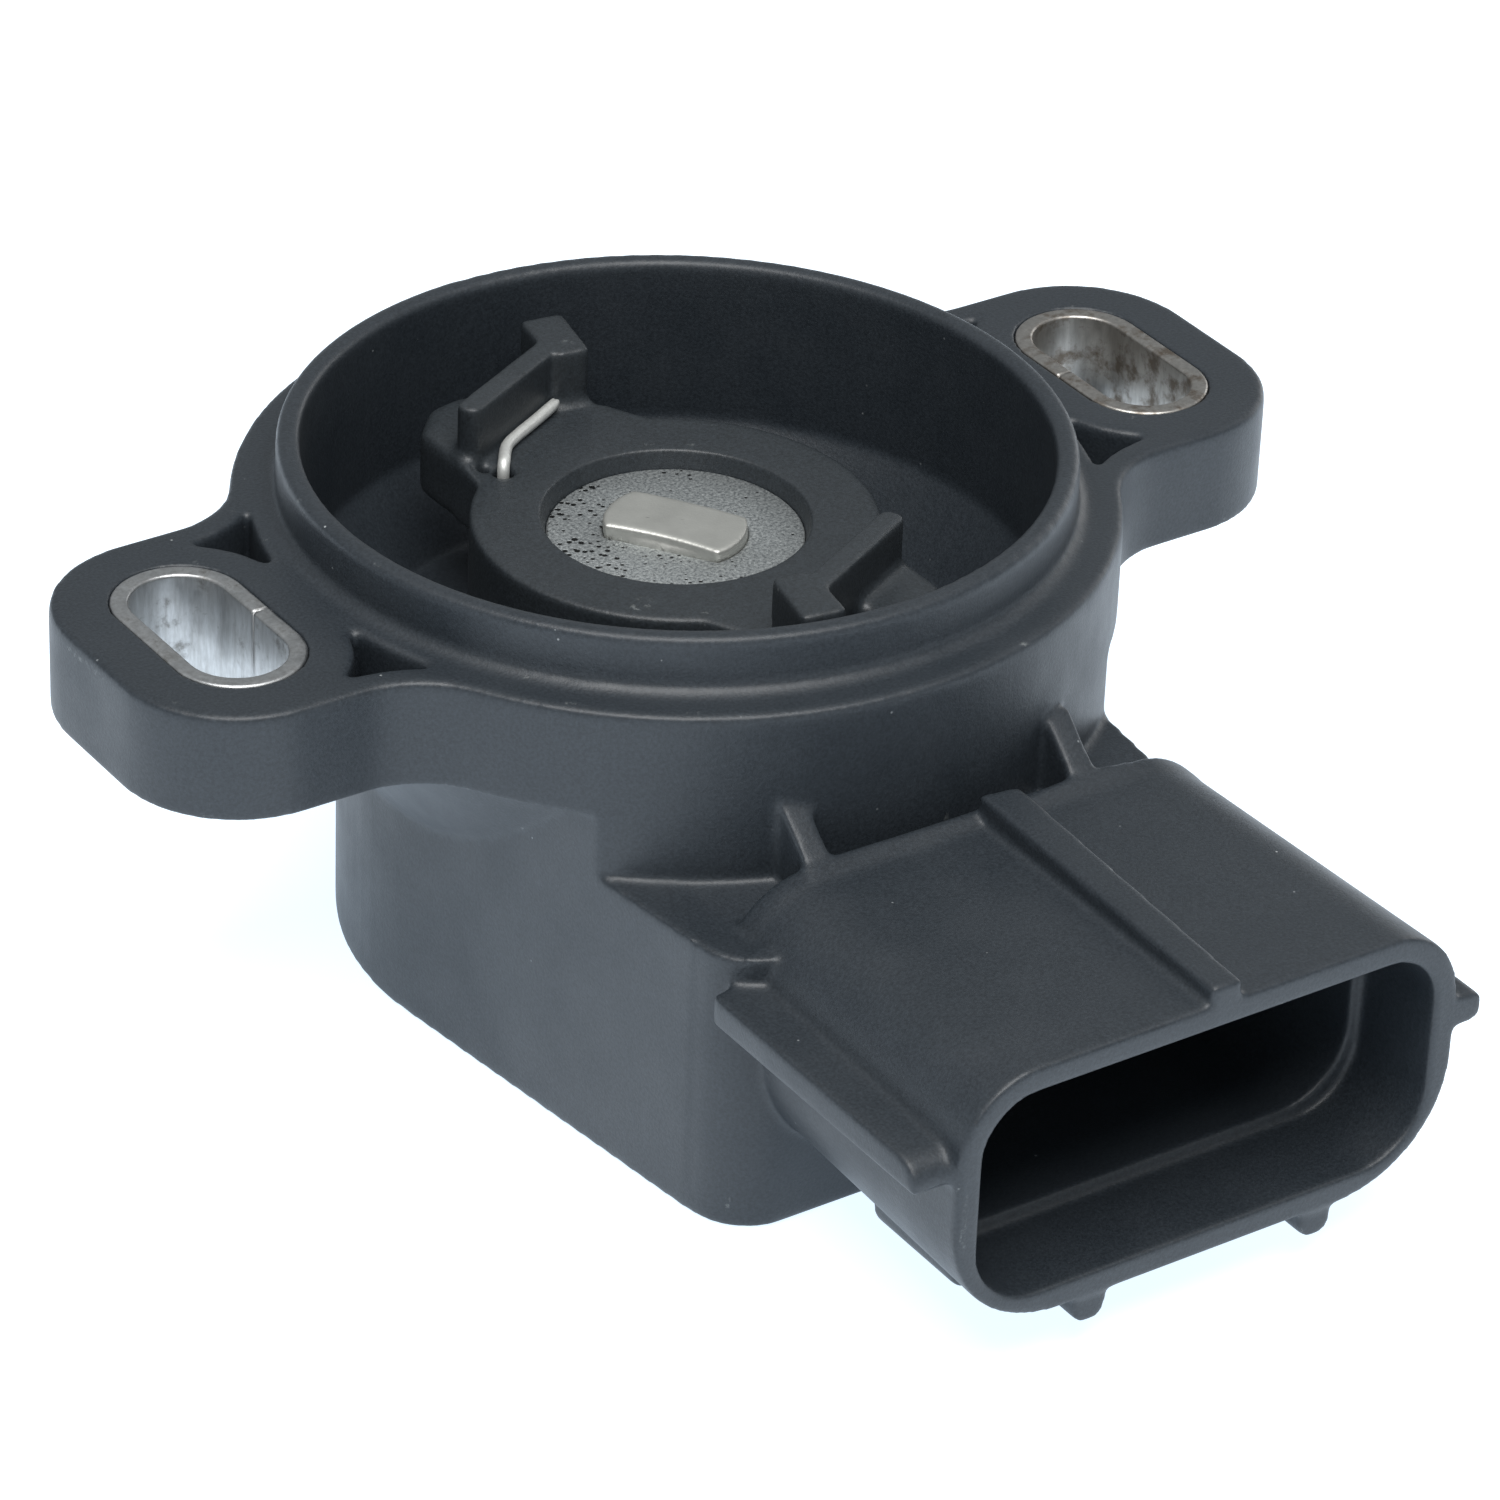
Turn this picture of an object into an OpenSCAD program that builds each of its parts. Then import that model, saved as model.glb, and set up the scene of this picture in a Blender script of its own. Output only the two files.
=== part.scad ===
// Throttle position sensor, in millimetres.
// The rotor turns about Z. The mounting face is z = 0, the cup opens up,
// the two ears lie along X and the connector points along -Y.

/* [Flange] */
// Radius of the round middle of the flange
flange_r = 21.2; // [20.6:0.1:23]
// Thickness of the flange
flange_t = 5.5; // [4.5:0.1:6.5]
// Distance between the middles of the two mounting slots
ear_pitch = 51.1; // [50:0.1:54]
// How far the fixing screws can slide along a slot
slot_travel = 5.2; // [4:0.1:6.5]
// Plastic around an insert
ear_wall = 2.75; // [2.2:0.05:3.5]
// Radius of the hollow where an ear runs into the round flange
neck_fillet = 5; // [3:0.1:7]
// Wall between a core pocket and the edge of the flange
pocket_wall = 1.5; // [1.2:0.1:2]
// Wall between a core pocket and an insert
pocket_insert_wall = 2.1; // [1.6:0.1:2.6]
// Depth of the core pockets
pocket_depth = 4.2; // [2:0.1:4.8]

/* [Insert] */
// Width of a slot inside its metal insert
slot_w = 4.7; // [4.2:0.1:5.4]
// Thickness of the insert's rolled strip
insert_wall = 0.9; // [0.6:0.05:1.2]
// Width of the butt seam in the rolled strip
insert_seam = 0.12; // [0.05:0.01:0.3]

/* [Cup] */
// Outer radius of the locating collar
collar_r = 19; // [18:0.1:19.8]
// Wall of the collar
collar_wall = 1.15; // [0.9:0.05:1.6]
// Height of the collar above the mounting face
collar_h = 2.8; // [2:0.1:5]
// Rounding of the collar's rim
rim_round = 0.35; // [0.1:0.05:0.5]
// Depth to which the cup's wall runs straight
cup_straight = 5.85; // [5:0.05:6.6]
// Depth of the cup's floor below the mounting face
cup_depth = 10; // [9.6:0.1:10.4]
// Slope of the cup's lower wall, inside and outside
cup_slope = 58.3; // [50:0.1:65]
// Thickness of the cup's sloping wall
cup_wall = 1.85; // [1.5:0.05:2.2]
// Thickness of the cup's floor
floor_t = 1.6; // [1.2:0.1:2]

/* [Body] */
// Radius of the round part of the body below the flange
body_r = 16.1; // [15.6:0.1:17.5]
// Depth to which the full round wall reaches at the connector side
apron_depth = 8.7; // [8.5:0.1:10]
// Depth of the underside of the body
body_depth = 23.4; // [22.6:0.1:26]
// Distance of the body's front face from the axis
body_front = 25.6; // [24.6:0.1:27]
// Half width of the body at its front face
body_half_w = 13.1; // [12.6:0.1:13.4]
// Rounding of the body's upright front corners
body_corner = 3.2; // [2:0.1:4]
// Radius of the chamber for the resistor board
chamber_r = 13.2; // [12.6:0.1:13.6]
// Wall of the ledge that the board and cover sit on
ledge_w = 0.8; // [0.6:0.1:1.2]

/* [Connector] */
// Middle of the connector shroud to the right of the axis
shroud_x = 1.85; // [1:0.05:2.4]
// Depth of the middle of the shroud at its mouth
shroud_depth = 13.4; // [13:0.1:14]
// Distance of the mouth from the axis
mouth_y = 41; // [40:0.1:44]
// Distance of the shroud's back end from the axis
shroud_back = 22; // [21.6:0.1:23]
// Width of the shroud at its mouth
shroud_w = 27.6; // [26.8:0.1:28.2]
// Height of the shroud at its mouth
shroud_h = 13.5; // [13:0.1:13.9]
// How much each side of the shroud draws in from the mouth to its back end
shroud_draft = 0.4; // [0:0.05:0.5]
// Rounding of the shroud's two upper corners
shroud_round = 4.2; // [3.4:0.1:5]
// Rounding of the shroud's two lower corners
shroud_low_round = 6; // [4:0.1:6.4]
// Wall of the shroud
shroud_wall = 1.3; // [1.1:0.05:1.7]
// Depth of the socket to its floor
socket_depth = 15.4; // [13:0.1:16]
// Depth of the wide mouth of the socket, where the plug seals
mouth_depth = 5.1; // [4.4:0.1:7]
// Step between the mouth and the inner socket
mouth_step = 0.6; // [0.3:0.05:0.9]
// Height of the rib along the middle of the shroud's top
top_rib_h = 0.9; // [0.6:0.05:1.3]
// Width of the top rib at its back end
top_rib_w = 2.1; // [1.6:0.1:2.6]
// Width of the top rib at the mouth
top_rib_front_w = 1.65; // [1.2:0.05:2]
// Reach of the long rib on the left side
side_rib_w = 2.1; // [1.2:0.1:2.6]
// Thickness of the side rib and of the tab across from it
side_rib_t = 1.5; // [1.2:0.1:2]
// Reach of the short tab on the right side
tab_w = 1.5; // [0.8:0.1:2.2]
// Length of the short tab on the right side
tab_l = 2.8; // [1.6:0.1:4]
// Height of the keys under the shroud
key_h = 1.6; // [1:0.1:2]
// Thickness of the keys under the shroud
key_w = 1.8; // [1:0.1:2.2]

/* [Terminals] */
// Pitch of the four terminals
pin_pitch = 4.2; // [3.6:0.1:4.8]
// Width of a terminal's blade
pin_w = 1.5; // [1:0.1:2]
// Thickness of a terminal's blade
pin_t = 0.64; // [0.4:0.02:0.8]
// Length of the blades in the socket
pin_l = 7.2; // [5:0.1:8.5]

/* [Rotor] */
// Radius of the rotor's ring
rotor_r = 9.85; // [9.2:0.05:10.2]
// Depth of the ring's top below the mounting face
ring_depth = 2.1; // [1.7:0.1:2.5]
// Height of the drive fins' tops above the mounting face
fin_top = 1.2; // [0.5:0.1:2.2]
// Distance of a fin's inner face from the axis
fin_y = 10.4; // [10.2:0.05:11]
// Thickness of a fin
fin_t = 0.9; // [0.7:0.05:1.3]
// Reach of the drive head at the end of a fin
head_r = 15.7; // [14.5:0.1:16.2]
// Reach of the stop lug outside a fin
lug_r = 15.2; // [13.5:0.1:15.8]
// Depth of the stop lug's top below the mounting face
lug_depth = 1; // [0.6:0.1:1.8]
// Depth of the underside of the lugs and of the fins' web
lug_low = 4.6; // [3.6:0.1:5.4]
// Clearance under the rotor
rotor_gap = 0.4; // [0.3:0.05:0.6]

/* [Shaft] */
// Radius of the sintered disc
disc_r = 6.2; // [5.6:0.05:6.4]
// Thickness of the sintered disc
disc_t = 2.5; // [1.8:0.1:3.5]
// Depth of the disc's face below the ring
disc_recess = 0.3; // [0.2:0.05:0.8]
// Radius over the rounded ends of the shaft's flattened top
key_r = 3.45; // [3.1:0.05:3.8]
// Width across the flats of the shaft's top
key_flat = 3.75; // [3:0.05:4.4]
// Height of the shaft's top above the disc
key_proud = 0.75; // [0.3:0.05:1]
// Radius of the shaft in its bush
shaft_r = 2.5; // [2.2:0.05:2.8]
// Running clearance of the shaft in its bush
run_fit = 0.04; // [0.01:0.01:0.08]
// Wall of the bearing bush
bush_wall = 1.5; // [1:0.1:2]

/* [Spring] */
// Diameter of the return spring's wire
wire_d = 0.65; // [0.5:0.05:0.75]
// Radius of the middle of the spring's coils
coil_r = 7.7; // [7.3:0.05:8]
// Turns of the spring
coil_turns = 4; // [2:1:5]

/* [Hidden] */
$fn = 96;
e = 0.01;

// Flange
slot_half = slot_travel / 2;
insert_r = slot_w / 2 + insert_wall;
ear_r = insert_r + ear_wall;
ear_half = slot_half + ear_r;
ear_x = ear_pitch / 2;
neck_x = sqrt(pow(flange_r + neck_fillet, 2) - pow(ear_half + neck_fillet, 2));
cup_r = collar_r - collar_wall;
cup_low_r = cup_r - (cup_depth - cup_straight) / tan(cup_slope);
cone_r = cup_r + cup_wall / sin(cup_slope) + (cup_straight - flange_t) / tan(cup_slope);
cone_depth = flange_t + (cone_r - body_r) * tan(cup_slope);
edge_round = 0.5;
nose_round = 1.3;
rib_root = 1.2;
gusset_w = 1.4;
band_w = 1.3;
band_h = 0.45;

// Straight body sides run from the round part to the front corners
side_span = sqrt(pow(body_front, 2) + pow(body_half_w, 2) - pow(body_r, 2));
side_turn = asin(body_r / norm([body_front, body_half_w])) - atan2(body_half_w, body_front);

// Pieces below the cup, from the top down
under_floor = cup_depth + floor_t;
fit_gap = 0.3;
seat_gap = 0.02;
bush_r = shaft_r + run_fit + bush_wall;
boss_r = bush_r + 1.4;
disc_top = ring_depth + disc_recess;
disc_low = disc_top + disc_t;
bush_top = disc_low + 0.4;
bush_low = under_floor + 3.4;
carrier_t = 1.4;
carrier_r = 9.6;
carrier_top = bush_low + 0.3;
board_top = carrier_top + carrier_t + 1.5;
board_t = 0.8;
board_low = board_top + board_t;
shaft_low = board_top - 0.6;
clip_t = 0.5;
board_hole_r = shaft_r + 2.2;
track_w = 1.6;
track_span = 150;
lead_w = 1.2;
lead_l = 3;
// The first fin runs along a chord of the ring, turned by this angle
fin_turn = 27.4;
fin_start = -0.7;
fin_end = 7.9;
rotor_low = cup_depth - rotor_gap;
ring_t = 1.2;
// Where the spring's free end comes up through the ring
tail_turn = 121.8;
tail_r = 9.15;
tail_gap = 0.2;
bend_r = 0.5;
cover_t = 1.6;
seal_h = 0.5;
cover_recess = 0.4;
cover_low = body_depth - cover_recess;
cover_top = cover_low - cover_t;

module slot_outline(r) {
    for (s = [-1, 1]) translate([0, s * slot_half]) circle(r);
    square([2 * r, slot_travel], center = true);
}

// One quarter of the flange: the ear's end, its flank and the hollow of its neck
module flange_quarter() {
    translate([ear_x, slot_half]) circle(ear_r);
    square([ear_x, ear_half]);
    square([ear_x + ear_r, slot_half]);
    difference() {
        polygon([[0, 0], [neck_x, ear_half + neck_fillet] * flange_r / (flange_r + neck_fillet),
                 [neck_x, ear_half + neck_fillet], [neck_x, 0]]);
        translate([neck_x, ear_half + neck_fillet]) circle(neck_fillet);
    }
}

module flange_outline() {
    circle(flange_r, $fn = 180);
    for (sx = [0, 1], sy = [0, 1]) mirror([sx, 0]) mirror([0, sy]) flange_quarter();
}

// Triangular core pocket between an insert, the collar and the edge
module pocket_outline() {
    difference() {
        translate([flange_r * 0.7, ear_half * 0.3]) square([10, ear_half]);
        circle(collar_r + collar_wall + 0.2, $fn = 180);
        translate([ear_x, slot_half]) circle(insert_r + pocket_insert_wall);
        translate([ear_x - insert_r - pocket_insert_wall, -1]) square([20, slot_half + 1]);
        translate([neck_x, ear_half + neck_fillet]) circle(neck_fillet + pocket_wall);
        translate([neck_x, ear_half - pocket_wall]) square(10);
        translate([ear_x, 0]) square([20, 20]);
    }
}

// Body below the flange: round at the back, straight sides that draw in to the front
module body_outline() {
    circle(body_r, $fn = 180);
    difference() {
        polygon([body_r * [-cos(side_turn), -sin(side_turn)],
                 [-body_half_w, -body_front], [body_half_w, -body_front],
                 body_r * [cos(side_turn), -sin(side_turn)], [0, 0]]);
        for (s = [-1, 1]) front_corner_cut(s);
    }
}

// Sharp tip of a front corner, outside its rounding
module front_corner_cut(s) {
    inset = body_corner * (1 - sin(side_turn)) / cos(side_turn);
    centre = [body_half_w - inset * 1.02, body_front - body_corner];
    difference() {
        translate([s * (centre[0] + 3), -centre[1] - 3]) square(6, center = true);
        translate([s * centre[0], -centre[1]]) circle(body_corner);
    }
}

// Plan of the shroud or its socket: r rounds the upper corners, q the lower ones
module rounded_rect(w, h, r, q) {
    for (s = [-1, 1]) {
        translate([s * (w / 2 - r), h / 2 - r]) circle(r, $fn = 48);
        translate([s * (w / 2 - q), q - h / 2]) circle(q, $fn = 48);
    }
    translate([r - w / 2, 0]) square([w - 2 * r, h / 2]);
    translate([q - w / 2, -h / 2]) square([w - 2 * q, h / 2]);
    translate([-w / 2, q - h / 2]) square([w, h - q - r]);
}

// Extrudes a plan drawn in X and Z along Y, from one distance out to another
module out_along_y(from, to) {
    translate([0, -from, 0]) rotate([90, 0, 0]) linear_extrude(to - from) children();
}

module shroud_skin() {
    hull() {
        translate([shroud_x, 0, -shroud_depth]) out_along_y(mouth_y - e, mouth_y)
            rounded_rect(shroud_w, shroud_h, shroud_round, shroud_low_round);
        translate([shroud_x, 0, -shroud_depth]) out_along_y(shroud_back, shroud_back + e)
            rounded_rect(shroud_w - 2 * shroud_draft, shroud_h - 2 * shroud_draft, shroud_round,
                         shroud_low_round);
    }
}

// Raised band round the top and left of the shroud's back end, where it leaves the body
module shroud_band() {
    back_w = shroud_w - 2 * shroud_draft + band_h;
    back_h = shroud_h - 2 * shroud_draft + band_h;
    translate([shroud_x - band_h / 2, 0, -shroud_depth + band_h / 2])
        out_along_y(shroud_back, shroud_back + band_w)
            rounded_rect(back_w, back_h, shroud_round, shroud_low_round);
}

module socket() {
    inner_w = shroud_w - 2 * shroud_wall;
    inner_h = shroud_h - 2 * shroud_wall;
    inner_round = shroud_round - shroud_wall;
    inner_low_round = shroud_low_round - shroud_wall - 2 * mouth_step;
    translate([shroud_x, 0, -shroud_depth]) {
        out_along_y(mouth_y - mouth_depth, mouth_y + 1)
            rounded_rect(inner_w, inner_h, inner_round, inner_low_round);
        out_along_y(mouth_y - socket_depth, mouth_y)
            rounded_rect(inner_w - 2 * mouth_step, inner_h - 2 * mouth_step, inner_round,
                         inner_low_round);
    }
}

// Upright key under the shroud, its free edge rounded
module key(x, from, length, low) {
    translate([shroud_x + x, 0, 0]) out_along_y(from - length, from) {
        translate([-key_w / 2, low + key_w / 2]) square([key_w, 2.6]);
        translate([0, low + key_w / 2]) circle(d = key_w, $fn = 32);
    }
}

module top_rib() {
    top = -shroud_depth + shroud_h / 2;
    back_x = shroud_x + 1.15;
    front_x = shroud_x + 0.35;
    translate([0, 0, top - rib_root]) linear_extrude(rib_root + top_rib_h)
        polygon([[front_x - top_rib_front_w / 2, -mouth_y + e], [front_x + top_rib_front_w / 2, -mouth_y + e],
                 [back_x + top_rib_w / 2, -shroud_back - 0.7], [back_x - top_rib_w / 2, -shroud_back - 0.4]]);
}

// Long rib on the left side: slanted back end, and a nose that rounds down to the mouth
module side_rib() {
    side = shroud_x - shroud_w / 2;
    rib_top = -shroud_depth + 3.35;
    rib_back = shroud_back + 2.4;
    rib_front = mouth_y - 0.4;
    intersection() {
        translate([0, 0, rib_top - side_rib_t]) linear_extrude(side_rib_t) {
            translate([side - side_rib_w + edge_round, -rib_back - 0.7]) circle(edge_round, $fn = 32);
            polygon([[side + rib_root, -rib_back + 0.1], [side - side_rib_w + 0.7 * edge_round, -rib_back - 0.25],
                     [side - side_rib_w, -rib_back - 0.7], [side - side_rib_w, -rib_front],
                     [side + rib_root, -rib_front]]);
        }
        rotate([90, 0, 90]) translate([0, 0, side - side_rib_w - 1]) linear_extrude(side_rib_w + rib_root + 2) {
            translate([-rib_front + nose_round, rib_top - side_rib_t - 1])
                square([rib_front - rib_back + 2, side_rib_t + 1]);
            translate([-rib_front, rib_top - side_rib_t - 1]) square([nose_round, side_rib_t + 1 - nose_round]);
            translate([-rib_front + nose_round, rib_top - nose_round]) circle(nose_round, $fn = 48);
        }
    }
}

// Short tab at the mouth on the right side
module side_tab() {
    side = shroud_x + shroud_w / 2;
    tab_top = -shroud_depth + 2.3;
    translate([side, 0, 0]) out_along_y(mouth_y - tab_l, mouth_y) {
        translate([-rib_root, tab_top - side_rib_t]) square([rib_root + tab_w - edge_round, side_rib_t]);
        translate([-rib_root, tab_top - side_rib_t + edge_round])
            square([rib_root + tab_w, side_rib_t - 2 * edge_round]);
        for (z = [tab_top - edge_round, tab_top - side_rib_t + edge_round])
            translate([tab_w - edge_round, z]) circle(edge_round, $fn = 32);
    }
}

module shroud_ribs() {
    top = -shroud_depth + shroud_h / 2;
    bottom = -shroud_depth - shroud_h / 2;
    top_rib();
    side_rib();
    side_tab();
    // two keys at the mouth and a lower one at the left corner
    key(-5.9, mouth_y - 0.2, 8, bottom - key_h);
    key(6.8, mouth_y - 0.2, 8, bottom - key_h);
    key(-10.3, mouth_y - 3.4, 6.3, bottom - 0.05);
    // gussets from the round wall down to the shroud's top
    for (s = [-1, 1])
        translate([shroud_x - 1.1 + s * 7.4 - gusset_w / 2, 0, 0])
            rotate([90, 0, 90]) linear_extrude(gusset_w)
                polygon([[-flange_r + 3.5, -flange_t + 0.6], [-flange_r + 1.3, -flange_t + 0.9],
                         [-shroud_back - 0.6, top - 0.4], [-shroud_back - 0.6, top - 1.8],
                         [-flange_r + 3.5, top - 2]]);
}

module housing_mass() {
    translate([0, 0, -flange_t]) linear_extrude(flange_t) flange_outline();
    translate([0, 0, -body_depth]) linear_extrude(body_depth - apron_depth) body_outline();
    // the round wall of the flange carries on down between the straight sides
    translate([0, 0, -apron_depth - e]) linear_extrude(apron_depth) intersection() {
        circle(flange_r, $fn = 180);
        body_outline();
    }
    // sloping wall of the cup, which swells out of the straight sides
    translate([0, 0, -cone_depth])
        cylinder(r1 = body_r, r2 = cone_r, h = cone_depth - flange_t + e, $fn = 180);
    collar();
    shroud_skin();
    shroud_band();
    shroud_ribs();
}

module collar() {
    rotate_extrude($fn = 180) {
        translate([cup_r, -1]) square([collar_wall, 1 + collar_h - rim_round]);
        translate([cup_r + rim_round, 0]) square([collar_wall - 2 * rim_round, collar_h]);
        for (x = [cup_r + rim_round, collar_r - rim_round])
            translate([x, collar_h - rim_round]) circle(rim_round, $fn = 32);
        translate([collar_r - e, -e]) square([0.35, 0.2 + e]);
    }
}

module housing() color("#33373b") difference() {
    housing_mass();
    // cup, with a boss left standing around the bush
    difference() {
        union() {
            translate([0, 0, -cup_straight])
                cylinder(r = cup_r, h = cup_straight + collar_h + 1, $fn = 180);
            translate([0, 0, -cup_depth])
                cylinder(r1 = cup_low_r, r2 = cup_r, h = cup_depth - cup_straight, $fn = 180);
        }
        translate([0, 0, -cup_depth - e]) cylinder(r = boss_r, h = cup_depth - bush_top + e);
    }
    for (s = [-1, 1]) translate([s * ear_x, 0, -flange_t - e])
        linear_extrude(flange_t + 2 * e) slot_outline(insert_r);
    for (sx = [0, 1], sy = [0, 1]) mirror([sx, 0, 0]) mirror([0, sy, 0])
        translate([0, 0, -pocket_depth]) linear_extrude(pocket_depth + 1) pocket_outline();
    socket();
    chamber();
    translate([0, 0, -bush_low - e]) cylinder(r = bush_r, h = bush_low - bush_top + 1);
    spring_slot();
    for (i = [0:3]) terminal_way(i);
}

// Room below the cup's floor for the brushes, the board and the cover
module chamber() {
    difference() {
        translate([0, 0, -board_top]) cylinder(r = chamber_r - ledge_w, h = board_top - under_floor);
        translate([0, 0, -bush_low]) cylinder(r = boss_r, h = bush_low);
    }
    translate([0, 0, -body_depth - 1]) cylinder(r = chamber_r, h = body_depth + 1 - board_top);
    translate([0, 0, -body_depth - 1])
        cylinder(r = chamber_r + ledge_w, h = cover_recess + cover_t + 1);
}

// Hole in the cup's floor that holds the fixed end of the return spring
module spring_slot() {
    rotate(200) translate([coil_r, 0, -cup_depth - 1])
        cylinder(d = wire_d + 0.1, h = 2);
}

module insert_tube() {
    difference() {
        translate([0, 0, -flange_t]) linear_extrude(flange_t) slot_outline(insert_r - seat_gap);
        translate([0, 0, -flange_t - 1]) linear_extrude(flange_t + 2) slot_outline(slot_w / 2);
        translate([insert_r - insert_wall / 2, 0, -flange_t / 2])
            cube([2 * insert_wall, insert_seam, flange_t + 2], center = true);
    }
}

module insert_left() color("#b9bcc0") translate([-ear_x, 0, 0]) insert_tube();
module insert_right() color("#b4ada4") translate([ear_x, 0, 0]) rotate(180) insert_tube();

module sector(r1, r2, a1, a2) {
    difference() {
        intersection() {
            circle(r2, $fn = 120);
            polygon([[0, 0], for (a = [a1, (a1 + a2) / 2, a2]) 3 * r2 * [cos(a), sin(a)]]);
        }
        circle(r1, $fn = 120);
    }
}

module fin_plan() {
    rotate(fin_turn) translate([fin_start, fin_y]) square([fin_end - fin_start, fin_t]);
    rotate(fin_turn) translate([fin_start, fin_y + fin_t / 2]) circle(fin_t / 2, $fn = 32);
    sector(fin_y + 1.3, head_r, 78, 86.5);
}

module rotor() color("#2e3236") difference() {
    union() {
        translate([0, 0, -rotor_low]) cylinder(r = rotor_r, h = rotor_low - ring_depth, $fn = 120);
        for (a = [0, 180]) rotate(a) {
            // ring-level web that carries the fin and its head
            translate([0, 0, -lug_low]) linear_extrude(lug_low - ring_depth) {
                rotate(fin_turn) translate([fin_start, 0]) square([fin_end - fin_start, fin_y + fin_t]);
                sector(2, fin_y + 2.8, 77.5, 88);
            }
            translate([0, 0, -ring_depth - e]) linear_extrude(fin_top + ring_depth + e) fin_plan();
            // stop lug outside the fin, open where the spring's end lies along the fin
            translate([0, 0, -lug_low]) linear_extrude(lug_low - lug_depth) difference() {
                polygon([lug_r * [cos(109), sin(109)], (lug_r - 1) * [cos(118), sin(118)],
                         (rotor_r - 0.3) * [cos(133), sin(133)], fin_y * [cos(100), sin(100)],
                         (lug_r - 0.2) * [cos(100), sin(100)]]);
                rotate(fin_turn) translate([fin_start - tail_gap - wire_d / 2, 0]) square([5, fin_y]);
            }
        }
    }
    // seat of the sintered disc, with a bevel above it
    translate([0, 0, -rotor_low - 1]) cylinder(r = disc_r, h = rotor_low + 1);
    translate([0, 0, -ring_depth - disc_recess])
        cylinder(r1 = disc_r, r2 = disc_r + 0.3, h = disc_recess + e);
    // groove for the spring's coils
    translate([0, 0, -rotor_low - 1]) rotate_extrude()
        translate([coil_r - wire_d / 2 - fit_gap, 0])
            square([wire_d + 2 * fit_gap, rotor_low + 1 - ring_depth - ring_t]);
    // hole that the spring's free end comes up through, and the slot that leads to it
    rotate(tail_turn) {
        translate([tail_r, 0, -rotor_low]) cylinder(d = wire_d + 2 * tail_gap, h = rotor_low);
        translate([coil_r - wire_d, -tail_r * 0.24, -rotor_low - 1])
            cube([tail_r - coil_r + wire_d + tail_gap, tail_r * 0.24 + wire_d / 2 + tail_gap,
                  rotor_low + 1 - ring_depth - ring_t]);
    }
}

module key_plan(gap) {
    intersection() {
        circle(key_r + gap);
        rotate(-55) square([4 * key_r, key_flat + 2 * gap], center = true);
    }
}

module rotor_disc() color("#8f8d89") difference() {
    translate([0, 0, -disc_low]) cylinder(r = disc_r - seat_gap, h = disc_low - disc_top, $fn = 120);
    translate([0, 0, -disc_low - 1]) linear_extrude(disc_low) key_plan(seat_gap);
}

module shaft() color("#b8b2aa") difference() {
    union() {
        translate([0, 0, -disc_low - seat_gap])
            linear_extrude(seat_gap + disc_low - disc_top + key_proud) key_plan(0);
        translate([0, 0, -shaft_low]) cylinder(r = shaft_r, h = shaft_low - disc_low - seat_gap / 2);
    }
    // groove for the retaining clip
    translate([0, 0, -carrier_top - carrier_t - clip_t - 2 * seat_gap]) difference() {
        cylinder(r = shaft_r + 1, h = clip_t + 2 * seat_gap);
        translate([0, 0, -1]) cylinder(r = shaft_r - 0.5, h = clip_t + 3);
    }
}

module thrust_washer() color("#c9c5bd") difference() {
    washer_low = bush_top - seat_gap;
    translate([0, 0, -washer_low]) cylinder(r = bush_r, h = washer_low - disc_low - 0.05);
    translate([0, 0, -washer_low - 1]) cylinder(r = shaft_r + run_fit, h = 3);
}

module bearing_bush() color("#a98f62") difference() {
    translate([0, 0, -bush_low]) cylinder(r = bush_r - seat_gap, h = bush_low - bush_top);
    translate([0, 0, -bush_low - 1]) cylinder(r = shaft_r + run_fit, h = bush_low);
}

module brush_carrier() color("#d8d2c0") difference() {
    union() {
        translate([0, 0, -carrier_top - carrier_t]) cylinder(r = shaft_r + 2, h = carrier_t);
        translate([0, 0, -carrier_top - carrier_t]) intersection() {
            cylinder(r = carrier_r, h = carrier_t);
            translate([0, -3, 0]) cube([carrier_r, 6, carrier_t]);
        }
    }
    translate([0, 0, -carrier_top - carrier_t - 1]) cylinder(r = shaft_r + seat_gap, h = carrier_t + 2);
}

// Four sprung fingers that slant down to the tracks
module brush_contact() color("#c8a85a") {
    low = carrier_top + carrier_t;
    translate([5.4, -2.2, -low - 0.2 - seat_gap]) cube([3.4, 1.2, 0.2]);
    for (i = [0:3]) translate([5.4 + i * 0.95, 0, 0]) rotate([90, 0, 90]) linear_extrude(0.55)
        polygon([[-2.2, -low - seat_gap], [-1, -low - seat_gap], [1.9, -board_top + 0.32],
                 [1.9, -board_top + 0.12], [-1, -low - 0.2 - seat_gap], [-2.2, -low - 0.2 - seat_gap]]);
}

module retaining_clip() color("#6f7377") difference() {
    clip_z = carrier_top + carrier_t + clip_t + seat_gap;
    translate([0, 0, -clip_z]) cylinder(r = shaft_r + 1.3, h = clip_t);
    translate([0, 0, -clip_z - 1]) cylinder(r = shaft_r - 0.5 + seat_gap, h = clip_t + 2);
    translate([-1.5, -shaft_r - 3, -clip_z - 1]) cube([3, shaft_r + 3, clip_t + 2]);
}

module return_spring() color("#c2bfb8") spring_path_tube();

// The spring's wire: a fixed leg, the coils, and the free end along the first fin
coil_low = rotor_low - 0.35;
coil_top = ring_depth + ring_t + fit_gap + wire_d / 2;
coil_steps = 18 * coil_turns;
coil_from = 200;
coil_to = tail_turn - 9 + 360 * coil_turns;
tail_z = -ring_depth + wire_d / 2 + seat_gap;
wire_y = fin_y - wire_d / 2 - seat_gap;
function beside_fin(x, y, z) = [x * cos(fin_turn) - y * sin(fin_turn), x * sin(fin_turn) + y * cos(fin_turn), z];
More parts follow.
